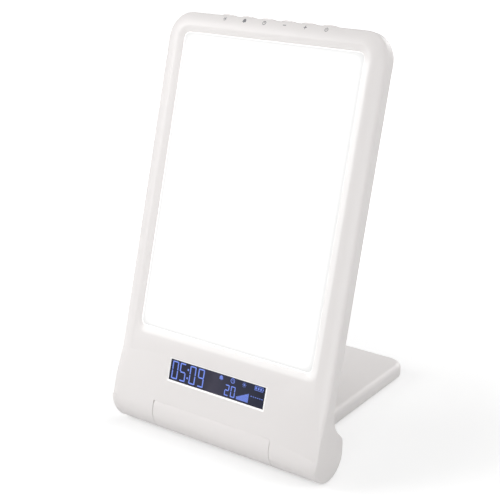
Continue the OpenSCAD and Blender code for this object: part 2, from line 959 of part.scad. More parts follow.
module display_window() {
    color(display_colour)
        leaning() {
            translate([-display_w / 2 + fit, display_v - display_h / 2 + fit, ceiling_z - stack_gap])
                cube([display_w - 2 * fit, display_h - 2 * fit,
                    front_wall - display_recess + stack_gap]);
            translate([-display_w / 2 - window_flange, display_v - display_h / 2 - window_flange,
                window_back_z])
                cube([display_w + 2 * window_flange, display_h + 2 * window_flange,
                    ceiling_z - window_back_z]);
        }
}

module lcd_panel() {
    color("#20243a")
        leaning() {
            translate([-lcd_w / 2, display_v - lcd_h / 2, lcd_z])
                cube([lcd_w, lcd_h, lcd_t / 2]);
            translate([-lcd_w / 2, display_v - lcd_h / 2 + 1.6, lcd_z + lcd_t / 2])
                cube([lcd_w, lcd_h - 1.6, lcd_t / 2]);
        }
}

module lcd_backlight() {
    color("#f4f4f4")
        leaning()
            translate([-lcd_w / 2, display_v - lcd_h / 2, backlight_z])
                cube([lcd_w, lcd_h, backlight_t]);
}

// ---- control electronics ----

module control_board() {
    color(board_colour)
        leaning()
            difference() {
                translate([-board_w / 2, board_v0, board_z0])
                    cube([board_w, board_v1 - board_v0, board_t]);
                both_sides()
                    for (p = board_screw_at)
                        translate([p[0], p[1], board_z0 - 1])
                            cylinder(h = board_t + 2, r = screw_r + fit, $fn = few);
            }
}

module board_screws() {
    color(steel_colour)
        leaning()
            both_sides()
                for (p = board_screw_at)
                    translate([p[0], p[1], 0])
                        screw(board_z0, 5.5);
}

// A flat chip, connector or can on the back of the control board
module board_box(x, v, w, h, t) {
    translate([x - w / 2, v - h / 2, board_z0 - t])
        cube([w, h, t]);
}

module board_can(x, v, r, t) {
    translate([x, v, board_z0 - t])
        cylinder(h = t, r = r, $fn = some);
}

module board_components() {
    mid = (board_v0 + board_v1) / 2;
    color("#26282b")
        leaning() {
            board_box(-6, mid, 11, 11, 1.5);
            board_box(12, mid + 3, 6, 5, 1.4);
            board_box(22, mid - 4, 5, 4, 1.3);
            board_can(34, mid + 1, 4.2, 3.8);
            board_can(-24, mid - 4, 3.2, 4);
            board_can(-33, mid - 4, 3.2, 4);
            board_box(-24, mid + 7, 9, 4.5, plug_t);
            board_box(0, board_v1 - 3, 7.5, 4.5, plug_t);
            for (side = [-1, 1])
                board_box(side * plug_x, board_v1 - 7, plug_w, 7.5, plug_t);
        }
}

// Barrel socket: a moulded block with a round bore, behind the hole in the rear cover
module power_socket() {
    color("#1d1d1f")
        leaning()
            translate([socket_at[0], socket_at[1], socket_z0])
                difference() {
                    translate([-socket_size[0] / 2, -socket_size[1] / 2, 0])
                        cube([socket_size[0], socket_size[1], socket_l]);
                    translate([0, 0, -1])
                        cylinder(h = socket_l, d = socket_d);
                }
}

module power_pin() {
    color("#c9b98a")
        leaning()
            translate([socket_at[0], socket_at[1], socket_z0 + socket_l - 1 - pin_l])
                cylinder(h = pin_l, d = pin_d);
}

module buzzer() {
    color("#1d1d1f")
        leaning()
            translate([buzzer_at[0], buzzer_at[1], back_z + wall + seat_gap])
                cylinder(h = buzzer_t, r = buzzer_r, $fn = some);
}

module battery_pack() {
    color("#7f8fa6")
        leaning()
            slab(battery_w, battery_l, 2, battery_v0 + battery_l / 2,
                battery_z1 - battery_t, battery_z1);
}

module battery_pad() {
    color(rubber_colour)
        leaning()
            slab(battery_w - 8, battery_l - 8, 2, battery_v0 + battery_l / 2,
                battery_z1 + stack_gap, battery_z1 + stack_gap + pad_t);
}

// ---- keys ----

module key_board() {
    color(board_colour)
        leaning()
            translate([-key_board_w / 2, key_board_v1 - key_board_t, key_board_z[0]])
                cube([key_board_w, key_board_t, key_board_z[1] - key_board_z[0]]);
}

module key_switches() {
    color("#26282b")
        leaning()
            at_keys()
                difference() {
                    translate([-switch_size[0] / 2, key_board_v1, -switch_size[1] / 2])
                        cube([switch_size[0], switch_l, switch_size[1]]);
                    along_y(key_board_v1 + switch_floor, switch_l)
                        circle(r = plunger_r + running, $fn = some);
                }
}

module key_cap(i) {
    color(shell_colour)
        leaning()
            translate([key_x(i), 0, key_z]) {
                intersection() {
                    along_y(key_flange_v1 - key_flange_t, panel_l + key_proud + 1 - key_flange_v1)
                        pill(key_w, key_d);
                    translate([0, panel_l + key_proud - key_crown_r, -key_d])
                        cylinder(h = 2 * key_d, r = key_crown_r, $fn = 128);
                }
                along_y(key_flange_v1 - key_flange_t, key_flange_t)
                    square(key_flange, center = true);
                along_y(key_stem_v, key_flange_v1 - key_flange_t - key_stem_v + 0.2)
                    circle(r = plunger_r + 0.6, $fn = few);
            }
}

module key_plunger(i) {
    color("#d8d2c0")
        leaning()
            translate([key_x(i), 0, key_z])
                along_y(key_stem_v - plunger_l, plunger_l)
                    circle(r = plunger_r, $fn = some);
}

module key_ribbon() {
    color("#c98a3a")
        leaning()
            translate([-ribbon_x - ribbon_w / 2, board_v1 + 0.2, tray_back_z - ribbon_t - 0.1])
                cube([ribbon_w, key_board_v1 - key_board_t - board_v1 - 0.3, ribbon_t]);
}

// ---- wiring ----

// A straight lead between two points
module lead(from, to) {
    d = to - from;
    translate(from)
        rotate([0, acos(d[2] / norm(d)), atan2(d[1], d[0])])
            cylinder(h = norm(d), r = lead_r, $fn = few);
}

// Leads from the battery, the lamp strips, the power socket and the buzzer to the control board
module internal_leads() {
    lead_z = board_z0 - 2;
    strip_end = opening_mid - guide_h / 2 - 0.4;
    color("#b23b32")
        leaning() {
            for (x = [-lead_pitch / 2, lead_pitch / 2])
                lead([x, battery_v0 - 0.2, lead_z], [x, board_v1 - 0.6, lead_z]);
            for (side = [-1, 1])
                lead([side * (strip_x + 0.2), strip_end, guide_z - guide_t / 2],
                    [side * (board_w / 2 + 0.7), board_v1 - 3.5, board_z0 + board_t / 2]);
            lead([socket_at[0] - socket_size[0] / 2 - 0.2, socket_at[1] - 3, lead_z],
                [plug_x + plug_w / 2 + 0.4, board_v1 - 9.5, lead_z]);
            lead([buzzer_at[0] + buzzer_r + 0.5, buzzer_at[1], back_z + wall + 1.5],
                [-plug_x - plug_w / 2 - 0.4, board_v1 - 9.5, lead_z]);
        }
}

module cover_screws() {
    color(steel_colour)
        leaning()
            both_sides()
                for (p = cover_screw_at)
                    translate([p[0], p[1], 0])
                        screw(cover_seat_z, 7);
}

// ---- hinge ----

// Steel block that is screwed to the front and carries the shaft
module hinge_block(side) {
    color(steel_colour)
        leaning()
            on_side(side)
                difference() {
                    union() {
                        rod_x(block_x, block_w, block_r);
                        translate([block_x, -block_r, block_plate_z - 1])
                            cube([block_w, block_r + 12.8, block_plate_t + 1]);
                        translate([block_x, -block_r, 0])
                            cube([block_w, 2 * block_r, block_plate_z]);
                    }
                    rod_x(block_x - 1, block_w + 2, shaft_r + running);
                    for (p = block_screw_at)
                        translate([p[0], p[1], 0])
                            cylinder(h = 2 * roll_r, r = screw_r + fit, $fn = few);
                }
}

module hinge_block_screws() {
    color(steel_colour)
        leaning()
            both_sides()
                for (p = block_screw_at)
                    translate([p[0], p[1], 0])
                        screw(block_plate_z - 1, block_plate_t + 3.6);
}

// Shaft with a flat that keys it into the knuckle
module hinge_shaft(side) {
    color("#c4c7cb")
        standing()
            on_side(side)
                difference() {
                    rod_x(shaft_in, shaft_out - shaft_in, shaft_r);
                    translate([shaft_in - 1, -shaft_d, shaft_r - 0.8])
                        cube([knuckle_w / 2 - 3 - shaft_in, 2 * shaft_d, shaft_d]);
                }
}

module friction_washers(side) {
    color("#8d9094")
        standing()
            on_side(side)
                for (i = [0:washer_count - 1])
                    difference() {
                        rod_x(washer_x + i * (washer_t + 0.1), washer_t, washer_r, some);
                        rod_x(washer_x - 1, nut_x - washer_x + 2, around_shaft_r, some);
                    }
}

module shaft_nut(side) {
    color(steel_colour)
        standing()
            on_side(side)
                difference() {
                    translate([nut_x, 0, 0])
                        rotate([0, 90, 0])
                            cylinder(h = nut_w, r = nut_r, $fn = 6);
                    rod_x(nut_x - 1, nut_w + 2, around_shaft_r, some);
                }
}

// ---- stand ----

// Right half of the plate's outline seen from above, moved in by inset
function stand_half(inset, y0) = concat(
    [[stand_x(y0, inset), y0]],
    arc([stand_corner_x, stand_corner_y], stand_corner_r - inset, stand_taper, 90)
);
function mirrored(points) = [
    for (i = [len(points) - 1:-1:0]) [-points[i][0], points[i][1]]
];
function stand_outline(inset, y0) =
    concat(stand_half(inset, y0), mirrored(stand_half(inset, y0)));

// Section of the plate's edge: distance in from the outline, height
stand_edge = concat(
    [[stand_corner_r, stand_z0], [stand_bottom_r, stand_z0]],
    arc_inside([stand_bottom_r, stand_z0 + stand_bottom_r], stand_bottom_r, 270, 180, 4),
    [[0, stand_z0 + stand_bottom_r], [0, stand_z1 - stand_top_r]],
    arc_inside([stand_top_r, stand_z1 - stand_top_r], stand_top_r, 180, 90, 4),
    [[stand_top_r, stand_z1], [stand_corner_r, stand_z1]]
);

// The whole plate, solid: its two round corners and its root, joined by straight sides
module stand_plate_solid() {
    turned = [for (p = stand_edge) [stand_corner_r - p[0], p[1]]];
    root = stand_x(0, 0);
    hull() {
        both_sides() {
            translate([stand_corner_x, stand_corner_y, 0])
                rotate_extrude($fn = 32)
                    polygon(turned);
            translate([root, 0.01, 0])
                rotate([90, 0, 0])
                    linear_extrude(0.01)
                        polygon([for (p = stand_edge) [-p[0], p[1]]]);
        }
    }
}

module linear_extrude_between(z0, z1) {
    translate([0, 0, z0])
        linear_extrude(z1 - z0)
            children();
}

module at_stand_screws() {
    both_sides()
        for (p = stand_screw_at)
            translate([p[0], p[1], 0])
                children();
}

module at_feet() {
    both_sides()
        for (p = foot_at)
            translate([p[0], p[1], 0])
                children();
}

module stand_shell() {
    color(shell_colour)
        standing()
            difference() {
                union() {
                    difference() {
                        union() {
                            stand_plate_solid();
                            along_x(-knuckle_w / 2, knuckle_w)
                                polygon(arc_rest([0, 0], roll_r, -90, 270, 4 * quarter_steps));
                        }
                        linear_extrude_between(stand_z0 + base_t, stand_z1 - stand_skin)
                            polygon(stand_outline(stand_wall, base_y0 + 1));
                        rod_x(-knuckle_w / 2 + knuckle_end_wall, knuckle_w - 2 * knuckle_end_wall,
                            roll_r - knuckle_wall);
                    }
                    both_sides()
                        rod_x(shaft_in - 1, knuckle_w / 2 - shaft_in, shaft_boss_r);
                    for (x = rib_x)
                        translate([x - rib_t / 2, roll_r, stand_z0 + base_t + 0.1])
                            cube([rib_t, stand_reach - roll_r - stand_wall - 0.5,
                                stand_t - base_t - stand_skin + 0.2]);
                    at_stand_screws()
                        translate([0, 0, stand_z0 + base_t])
                            cylinder(h = stand_t - base_t - stand_skin + 0.5, r = stand_boss_r,
                                $fn = few);
                }
                linear_extrude_between(stand_z0 - 1, stand_z0 + base_t)
                    polygon(stand_outline(base_in, base_y0));
                at_stand_screws()
                    translate([0, 0, stand_z0])
                        cylinder(h = base_t + 5, r = pilot_r, $fn = few);
                both_sides()
                    difference() {
                        rod_x(shaft_in - 2, knuckle_w, shaft_r + running / 2);
                        translate([shaft_in - 2, -shaft_d, shaft_r - 0.8 + running])
                            cube([knuckle_w / 2 - 2 - shaft_in, 2 * shaft_d, shaft_d]);
                    }
            }
}

module stand_base() {
    color(shell_colour)
        standing()
            difference() {
                linear_extrude_between(stand_z0, stand_z0 + base_t - stack_gap)
                    polygon(stand_outline(base_in + fit, base_y0 + fit));
                at_stand_screws() {
                    translate([0, 0, stand_z0 - 1])
                        cylinder(h = base_t + 2, r = screw_r + fit, $fn = few);
                    translate([0, 0, stand_z0 - 1])
                        cylinder(h = 1 + 0.9, r = head_r + 0.3, $fn = some);
                }
                at_feet()
                    linear_extrude_between(stand_z0 - 1, stand_z0 + foot_sink)
                        pill(foot_size[0] + 2 * fit, foot_size[1] + 2 * fit);
            }
}

module stand_feet() {
    color(rubber_colour)
        standing()
            at_feet()
                linear_extrude_between(stand_z0 - foot_proud, stand_z0 + foot_sink)
                    pill(foot_size[0], foot_size[1]);
}

module stand_screws() {
    color(steel_colour)
        standing()
            at_stand_screws() {
                translate([0, 0, stand_z0 + 0.1])
                    cylinder(h = 0.8, r = head_r, $fn = some);
                translate([0, 0, stand_z0 + 0.8])
                    cylinder(h = base_t + 3.4, r = screw_r, $fn = few);
            }
}

front_bezel();
rear_cover();
diffuser_plate();
light_guide();
reflector_sheet();
back_tray();
led_strip(-1);  // led_strip_left
led_strip(1);  // led_strip_right
leds(-1);  // leds_left
leds(1);  // leds_right
display_window();
lcd_panel();
lcd_backlight();
control_board();
board_components();
board_screws();
power_socket();
power_pin();
buzzer();
battery_pack();
battery_pad();
key_board();
key_switches();
key_ribbon();
internal_leads();
tray_screws();
cover_screws();
hinge_block(-1);  // hinge_block_left
hinge_block(1);  // hinge_block_right
hinge_block_screws();
roll_cap(-1);  // roll_cap_left
roll_cap(1);  // roll_cap_right
stand_shell();
stand_base();
stand_feet();
stand_screws();
hinge_shaft(-1);  // hinge_shaft_left
hinge_shaft(1);  // hinge_shaft_right
friction_washers(-1);  // friction_washers_left
friction_washers(1);  // friction_washers_right
shaft_nut(-1);  // shaft_nut_left
shaft_nut(1);  // shaft_nut_right
key_cap(0);  // mode_key
key_cap(1);  // alarm_key
key_cap(2);  // timer_key
key_cap(3);  // minus_key
key_cap(4);  // plus_key
key_cap(5);  // power_key
key_plunger(0);  // mode_plunger
key_plunger(1);  // alarm_plunger
key_plunger(2);  // timer_plunger
key_plunger(3);  // minus_plunger
key_plunger(4);  // plus_plunger
key_plunger(5);  // power_plunger
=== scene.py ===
import json
import math

import bmesh
import bpy
from mathutils import Euler, Matrix, Vector


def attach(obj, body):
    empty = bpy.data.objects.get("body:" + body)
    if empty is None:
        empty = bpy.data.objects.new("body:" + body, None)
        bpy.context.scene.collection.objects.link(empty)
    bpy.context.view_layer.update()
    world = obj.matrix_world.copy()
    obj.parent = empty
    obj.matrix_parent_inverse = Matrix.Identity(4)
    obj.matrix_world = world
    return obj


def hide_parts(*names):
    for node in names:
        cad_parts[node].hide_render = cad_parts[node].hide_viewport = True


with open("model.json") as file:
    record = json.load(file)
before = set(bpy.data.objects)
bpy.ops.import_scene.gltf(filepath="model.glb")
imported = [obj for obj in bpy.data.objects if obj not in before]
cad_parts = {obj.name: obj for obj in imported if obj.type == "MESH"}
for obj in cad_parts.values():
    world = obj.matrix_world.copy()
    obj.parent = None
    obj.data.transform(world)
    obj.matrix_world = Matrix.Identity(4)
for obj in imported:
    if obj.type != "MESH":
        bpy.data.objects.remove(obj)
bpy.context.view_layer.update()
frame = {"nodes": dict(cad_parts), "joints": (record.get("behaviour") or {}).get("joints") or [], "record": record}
scene = bpy.context.scene

# ---- joints, read from the frame; a key goes in along the panel, so its axis gives the lean ----

MM = 0.001
JOINTS = {joint["name"]: joint for joint in frame["joints"]}
KEYS = [name.removesuffix("_press") for name in JOINTS if name.endswith("_press")]
KEY_X = [JOINTS[key + "_press"]["pos_m"][0] / MM for key in KEYS]
HINGE = Vector(JOINTS["stand_hinge"]["pos_m"])
PRESS = Vector(JOINTS["power_press"]["axis"])
LEAN = math.radians(round(math.degrees(math.atan2(-PRESS.y, -PRESS.z)), 3))
UP_THE_PANEL = Vector((0, math.sin(LEAN), math.cos(LEAN)))


# ---- the panel in millimetres: lying on its back, X across, Y up the panel, Z out of the front ----

LEANING = (
    Matrix.Translation(HINGE) @ Matrix.Rotation(math.pi / 2 - LEAN, 4, "X") @ Matrix.Scale(MM, 4)
)
TO_PANEL = LEANING.inverted()


def in_panel(node):
    """A node's lowest and highest corner in the panel's frame, to a hundredth of a millimetre."""
    places = [TO_PANEL @ v.co for v in frame["nodes"][node].data.vertices]
    return [[round(end(p[i] for p in places), 2) for i in range(3)] for end in (min, max)]


_, (HALF_W, PANEL_L, FRONT_Z) = in_panel("front_bezel")
_, (_, _, ROLL_R) = in_panel("roll_cap_right")
(_, WINDOW_LOW, _), (_, WINDOW_HIGH, WINDOW_Z) = in_panel("display_window")
(_, PLATE_LOW, _), (_, PLATE_HIGH, _) = in_panel("diffuser_plate")
DISPLAY_V = (WINDOW_LOW + WINDOW_HIGH) / 2
OPENING_V = (PLATE_LOW + PLATE_HIGH) / 2

# Sizes that no node's box gives, as in part.scad
OPENING_W, OPENING_H = 131.4, 186.4
CAP_T = 3.3
CROWN_W, CROWN_DROP = 10.0, 3.3
CROWN_R = (CROWN_W**2 + CROWN_DROP**2) / (2 * CROWN_DROP)


# ---- node trees ----

SMOOTH = "SMOOTHSTEP"
MOST_NOISE = (0.3, 0.7)
TINT_STOPS = (0.35, 0.65)
BUMP_DISTANCE = 0.0002
CORNER_BLEND = 0.011
# The bevel's painted highlight: the band it lies in, its fade from the left and the top, its colour
BEVEL_EDGE = (-0.0054, -0.0032)
HIGHLIGHT_FROM_LEFT, HIGHLIGHT_FROM_TOP = (0.0, 0.005), (0.002, -0.003)
PAINTED_HIGHLIGHT_COLOUR = (0.93, 1.0, 1.0, 1)


class Tree:
    """Short calls that build a node tree."""

    def __init__(self, tree):
        self.tree = tree

    def add(self, kind, **values):
        node = self.tree.nodes.new(kind)
        for key, value in values.items():
            if key in node.inputs:
                node.inputs[key].default_value = value
            else:
                setattr(node, key, value)
        return node

    def link(self, source, target):
        self.tree.links.new(source, target)

    def calc(self, operation, *sources):
        """A math node; each source is a socket or a number."""
        node = self.add("ShaderNodeMath", operation=operation)
        for i, source in enumerate(sources):
            if isinstance(source, float):
                node.inputs[i].default_value = source
            else:
                self.link(source, node.inputs[i])
        return node.outputs[0]

    def background_rays(self):
        """1 on the rays that show the background: to the camera, in gloss and through glass."""
        paths = self.add("ShaderNodeLightPath").outputs
        shown = self.calc("MAXIMUM", paths["Is Camera Ray"], paths["Is Glossy Ray"])
        return self.calc("MAXIMUM", shown, paths["Is Transmission Ray"])


class Look(Tree):
    """A new node material that starts with one principled shader."""

    def __init__(self, name):
        self.material = bpy.data.materials.new(name)
        self.material.use_nodes = True
        super().__init__(self.material.node_tree)
        self.shader = self.tree.nodes["Principled BSDF"]
        self.coords = self.add("ShaderNodeTexCoord").outputs["Object"]

    def put(self, source, socket):
        self.link(source, self.shader.inputs[socket])

    def set(self, **sockets):
        for key, value in sockets.items():
            self.shader.inputs[key.replace("_", " ")].default_value = value

    def axes(self):
        node = self.add("ShaderNodeSeparateXYZ")
        self.link(self.coords, node.inputs[0])
        return node.outputs

    def noise(self, scale, detail=3.0):
        node = self.add("ShaderNodeTexNoise", Scale=scale, Detail=detail)
        self.link(self.coords, node.inputs["Vector"])
        return node.outputs["Fac"]

    def mapped(self, source, start, end, low=0.0, high=1.0, kind="LINEAR"):
        """The source's range from start to end as one from low to high, held beyond its ends."""
        node = self.add("ShaderNodeMapRange", interpolation_type=kind)
        node.inputs["From Min"].default_value = start
        node.inputs["From Max"].default_value = end
        node.inputs["To Min"].default_value = low
        node.inputs["To Max"].default_value = high
        self.link(source, node.inputs["Value"])
        return node.outputs["Result"]

    def spread(self, source, low, high):
        """Noise stretched to values from low to high."""
        return self.mapped(source, *MOST_NOISE, low, high)

    def tint(self, source, dark, light):
        node = self.add("ShaderNodeValToRGB")
        for stop, place, colour in zip(node.color_ramp.elements, TINT_STOPS, (dark, light)):
            stop.position = place
            stop.color = (*colour, 1)
        self.link(source, node.inputs["Fac"])
        return node.outputs["Color"]

    def bump(self, source, strength):
        node = self.add("ShaderNodeBump", Strength=strength, Distance=BUMP_DISTANCE)
        self.link(source, node.inputs["Height"])
        self.put(node.outputs["Normal"], "Normal")

    def inside_opening(self):
        """Distance in metres inside the edge of the opening; negative outside it."""
        up = self.add("ShaderNodeVectorMath", operation="DOT_PRODUCT")
        up.inputs[1].default_value = UP_THE_PANEL
        self.link(self.coords, up.inputs[0])
        middle = OPENING_V * MM + HINGE.dot(UP_THE_PANEL)
        rooms = []
        for source, centre, half in (
            (self.axes()["X"], 0.0, OPENING_W / 2 * MM),
            (up.outputs["Value"], middle, OPENING_H / 2 * MM),
        ):
            off = self.calc("ABSOLUTE", self.calc("SUBTRACT", source, centre))
            rooms.append(self.calc("SUBTRACT", half, off))
        return self.calc("SMOOTH_MIN", *rooms, CORNER_BLEND)

    def painted_bevel_highlight(self, strength):
        """Painted highlight in the bevel below and to the right of the opening, as emission."""
        glow = self.mapped(self.inside_opening(), *BEVEL_EDGE, 0.0, strength, SMOOTH)
        left = -OPENING_W / 2 * MM
        top = HINGE.z + (OPENING_V + OPENING_H / 2) * MM * math.cos(LEAN)
        for axis, edge, (dark, full) in (("X", left, HIGHLIGHT_FROM_LEFT), ("Z", top, HIGHLIGHT_FROM_TOP)):
            side = self.mapped(self.axes()[axis], edge + dark, edge + full, kind=SMOOTH)
            glow = self.calc("MULTIPLY", glow, side)
        self.put(glow, "Emission Strength")
        self.set(Emission_Color=PAINTED_HIGHLIGHT_COLOUR)


# ---- materials ----

PATCH_SCALE = 18.0
GLOW_GRAIN = 300.0
GLOW_SPREAD = 0.03


def surface(name, colour, spread=0.02, rough=(0.4, 0.5), grain=900.0, bump=0.1, glow=0.0, **sockets):
    """A plain surface: its colour drifts over patches, its grain stirs roughness and bump."""
    made = Look(name)
    dark = [max(c * (1 - spread), 0) for c in colour]
    light = [min(c * (1 + spread), 1) for c in colour]
    made.put(made.tint(made.noise(PATCH_SCALE), dark, light), "Base Color")
    grain_out = made.noise(grain, 2.0)
    made.put(made.spread(grain_out, *rough), "Roughness")
    if bump:
        made.bump(grain_out, bump)
    # glow paints a highlight into the bevel as emission
    if glow:
        made.painted_bevel_highlight(glow)
    made.set(**sockets)
    return made.material


def glowing(name, colour, strength):
    """A lit surface: emission that varies a little over its face."""
    made = Look(name)
    noise = made.noise(GLOW_GRAIN)
    tinted = made.tint(noise, [c * (1 - GLOW_SPREAD) for c in colour], colour)
    made.put(tinted, "Emission Color")
    made.put(tinted, "Base Color")
    made.put(made.spread(noise, strength * (1 - GLOW_SPREAD), strength), "Emission Strength")
    made.set(Roughness=0.35)
    return made.material


DIFFUSER_EDGE = (-0.001, 0.008)
DIFFUSER_POWER = (0.62, 1.15)
DIFFUSER_SHEDS = 2.5


def lit_diffuser():
    """White light, weaker along the edge of the opening; it sheds more on what is round it."""
    made = Look("lit_opal_diffuser")
    noise = made.noise(GLOW_GRAIN)
    made.put(made.tint(noise, (0.985, 0.985, 0.98), (1.0, 1.0, 0.995)), "Emission Color")
    power = made.mapped(made.inside_opening(), *DIFFUSER_EDGE, *DIFFUSER_POWER, SMOOTH)
    to_camera = made.add("ShaderNodeLightPath").outputs["Is Camera Ray"]
    others = made.calc("SUBTRACT", 1.0, to_camera)
    made.put(made.calc("MULTIPLY_ADD", others, DIFFUSER_SHEDS, power), "Emission Strength")
    made.put(made.spread(noise, 0.3, 0.36), "Roughness")
    made.set(Base_Color=(0.25, 0.25, 0.25, 1), Specular_IOR_Level=0.1)
    return made.material


# The sheen is a painted reflection: the base colour turns a lighter grey across the window's middle
SHEEN_FROM, SHEEN_TO = -0.028, 0.048
SHEEN_STIR = 0.02
SHEEN_ENDS = ((0.012, 0.014, 0.035), (0.008, 0.01, 0.03))
SHEEN_STOPS = (
    (0.28, (0.02, 0.02, 0.04)),
    (0.45, (0.045, 0.042, 0.068)),
    (0.72, (0.022, 0.025, 0.05)),
)


def dark_window():
    """Dark blue window with a painted grey reflection across its middle, in its base colour."""
    made = Look("display_window_dark")
    stirred = made.calc("MULTIPLY_ADD", made.noise(60.0), SHEEN_STIR, made.axes()["X"])
    ramp = made.add("ShaderNodeValToRGB")
    made.link(made.mapped(stirred, SHEEN_FROM, SHEEN_TO), ramp.inputs["Fac"])
    stops = ramp.color_ramp.elements
    stops[0].color, stops[1].color = [(*tone, 1) for tone in SHEEN_ENDS]
    for place, tone in SHEEN_STOPS:
        stops.new(place).color = (*tone, 1)
    made.put(ramp.outputs["Color"], "Base Color")
    made.put(made.spread(made.noise(700.0, 2.0), 0.12, 0.2), "Roughness")
    made.set(Specular_IOR_Level=0.22)
    return made.material


WHITE = (0.80, 0.772, 0.762)
SATIN = {"spread": 0.005, "rough": (0.36, 0.44), "grain": 1400.0, "bump": 0.05}
LOOKS = {
    "shell_plastic": surface("satin_white_plastic", WHITE, **SATIN),
    "key_plastic": surface("key_white_plastic", WHITE, spread=0.01, rough=(0.34, 0.42), bump=0.04),
    "black_plastic": surface("moulded_black", (0.03, 0.03, 0.032), spread=0.2, rough=(0.45, 0.6)),
    "clear_acrylic": surface(
        "polished_acrylic", (0.88, 0.94, 0.95), rough=(0.04, 0.08), bump=0.0,
        Transmission_Weight=0.8, IOR=1.49,
    ),
    "white_film": surface("white_film", (0.86, 0.86, 0.85), rough=(0.5, 0.6)),
    "led_lens": surface("phosphor", (0.85, 0.68, 0.25), spread=0.1, rough=(0.2, 0.3)),
    "circuit_board": surface("solder_mask", (0.03, 0.17, 0.07), spread=0.25, rough=(0.3, 0.45)),
    "ribbon_film": surface("amber_film", (0.5, 0.25, 0.06), spread=0.15, rough=(0.25, 0.4)),
    "lead_sleeve": surface("red_sleeve", (0.45, 0.04, 0.03), spread=0.15, rough=(0.4, 0.5)),
    "battery_pouch": surface(
        "foil_pouch", (0.5, 0.52, 0.55), spread=0.05, rough=(0.3, 0.45), Metallic=0.9
    ),
    "rubber": surface(
        "dark_rubber", (0.03, 0.03, 0.031), spread=0.2, rough=(0.75, 0.9), bump=0.3
    ),
    "contact_brass": surface(
        "plated_brass", (0.72, 0.58, 0.3), spread=0.08, rough=(0.2, 0.3), Metallic=1.0
    ),
    "steel": surface(
        "zinc_steel", (0.56, 0.57, 0.58), spread=0.06, rough=(0.3, 0.42), Metallic=1.0
    ),
    "diffuser": lit_diffuser(),
    "display_glass": dark_window(),
}
shell = LOOKS["shell_plastic"]
# The front shell is the shell white with a painted highlight in the bevel below and to the right of the opening
front_look_painted_highlight = surface("satin_white_front_painted_highlight", WHITE, glow=0.11, **SATIN)
segment_look = glowing("lit_segments", (0.12, 0.19, 0.6), 0.5)
faint_look = glowing("dim_segments", (0.11, 0.17, 0.55), 0.42)
# The surround that slopes down to the glass is a lighter white with faint emission: a painted highlight on its
# slope
border_painted_highlight_look = surface(
    "window_border_painted_highlight", (0.9, 0.89, 0.88), spread=0.01, rough=(0.3, 0.36), bump=0.02,
    Emission_Color=(1, 0.99, 0.98, 1), Emission_Strength=0.1,
)
label_look = surface("grey_label_ink", (0.2, 0.2, 0.21), spread=0.1, rough=(0.5, 0.6))

for sub in frame["record"]["subparts"]:
    node = frame["nodes"][sub["node"]]
    look = LOOKS[sub["material_slot"]]
    for place in node.material_slots:
        place.material = look
    if not node.material_slots:
        node.data.materials.append(look)


# ---- housing, stand and keys: the nodes' own shapes with rounded edges ----

MERGE = 3e-6
FLAT_WITHIN = math.radians(0.4)
SHARP_OVER = math.radians(32)
HOUSING_ROUNDING, STAND_ROUNDING, KEY_ROUNDING = 0.35, 0.4, 0.35
CAP_MARGIN, ROLL_MARGIN = 0.3, 0.05


def add_piece(name, mesh, body, look, replaced=()):
    piece = bpy.data.objects.new(name, mesh)
    bpy.context.collection.objects.link(piece)
    mesh.materials.clear()
    mesh.materials.append(look)
    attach(piece, body)
    if replaced:
        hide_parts(*replaced)


def mesh_of(shape, name):
    """The mesh of a finished bmesh, which is freed."""
    mesh = bpy.data.meshes.new(name)
    shape.to_mesh(mesh)
    shape.free()
    return mesh


def off_the_caps(edge):
    """Whether an edge lies somewhere else than along the cap at an end of the roll."""
    ends = [TO_PANEL @ v.co for v in edge.verts]
    cap_x = HALF_W - CAP_T - CAP_MARGIN
    return not all(abs(p.x) > cap_x and p.yz.length < ROLL_R + ROLL_MARGIN for p in ends)


def mark_edges(mesh, only):
    """Joins the facets of each flat face, and marks the sharp edges that are to be rounded."""
    shape = bmesh.new()
    shape.from_mesh(mesh)
    bmesh.ops.remove_doubles(shape, verts=shape.verts, dist=MERGE)
    bmesh.ops.dissolve_limit(
        shape, angle_limit=FLAT_WITHIN, verts=shape.verts, edges=shape.edges, delimit=set()
    )
    for face in shape.faces:
        face.smooth = True
    for edge in shape.edges:
        edge.smooth = len(edge.link_faces) == 2 and edge.calc_face_angle(0) < SHARP_OVER
    weights = shape.edges.layers.float.new("bevel_weight_edge")
    for edge in shape.edges:
        if not edge.smooth and (only is None or only(edge)):
            edge[weights] = 1.0
    shape.to_mesh(mesh)
    shape.free()
    for stored in [a.name for a in mesh.attributes if a.name.startswith("custom_normal")]:
        mesh.attributes.remove(mesh.attributes[stored])


def softened(node, name, body, slot, look, width, only=None):
    """The node's own shape with rounded edges, smooth where its facets stand for a curve."""
    mesh = frame["nodes"][node].data.copy()
    mark_edges(mesh, only)
    draft = bpy.data.objects.new(name + "_draft", mesh)
    bpy.context.collection.objects.link(draft)
    bevel = draft.modifiers.new("edge", "BEVEL")
    bevel.width = width * MM
    bevel.segments = 2
    bevel.limit_method = "WEIGHT"
    bevel.harden_normals = True
    bevel.use_clamp_overlap = True
    graph = bpy.context.evaluated_depsgraph_get()
    done = bpy.data.meshes.new_from_object(draft.evaluated_get(graph))
    done.name = name
    bpy.data.objects.remove(draft)
    add_piece(name, done, body, look, (node,))


for node, name, look in (
    ("front_bezel", "front_shell", front_look_painted_highlight),
    ("rear_cover", "back_shell", shell),
):
    softened(node, name, "housing", "shell_plastic", look, HOUSING_ROUNDING, off_the_caps)
softened("stand_shell", "stand_plate", "stand", "shell_plastic", shell, STAND_ROUNDING)


# ---- ends of the roll ----

ROLL_FROM, ROLL_TO = math.radians(-22.766), math.radians(-269.81)
ROLL_STEPS = 72
ROLL_DOME, DOME_POWER = 2.0, 2.2
DOME_RINGS = (2, 5, 8, 10.5, 12.5)
FADE_ANGLE = math.radians(55)
LEAST_FILLET, MORE_FILLET = 0.35, 0.55
FILLET_STEP, FILLET_STEPS = math.radians(22.5), 4
ROLL_MIDDLE = -0.05
ROLL_SHARP_OVER = math.radians(40)


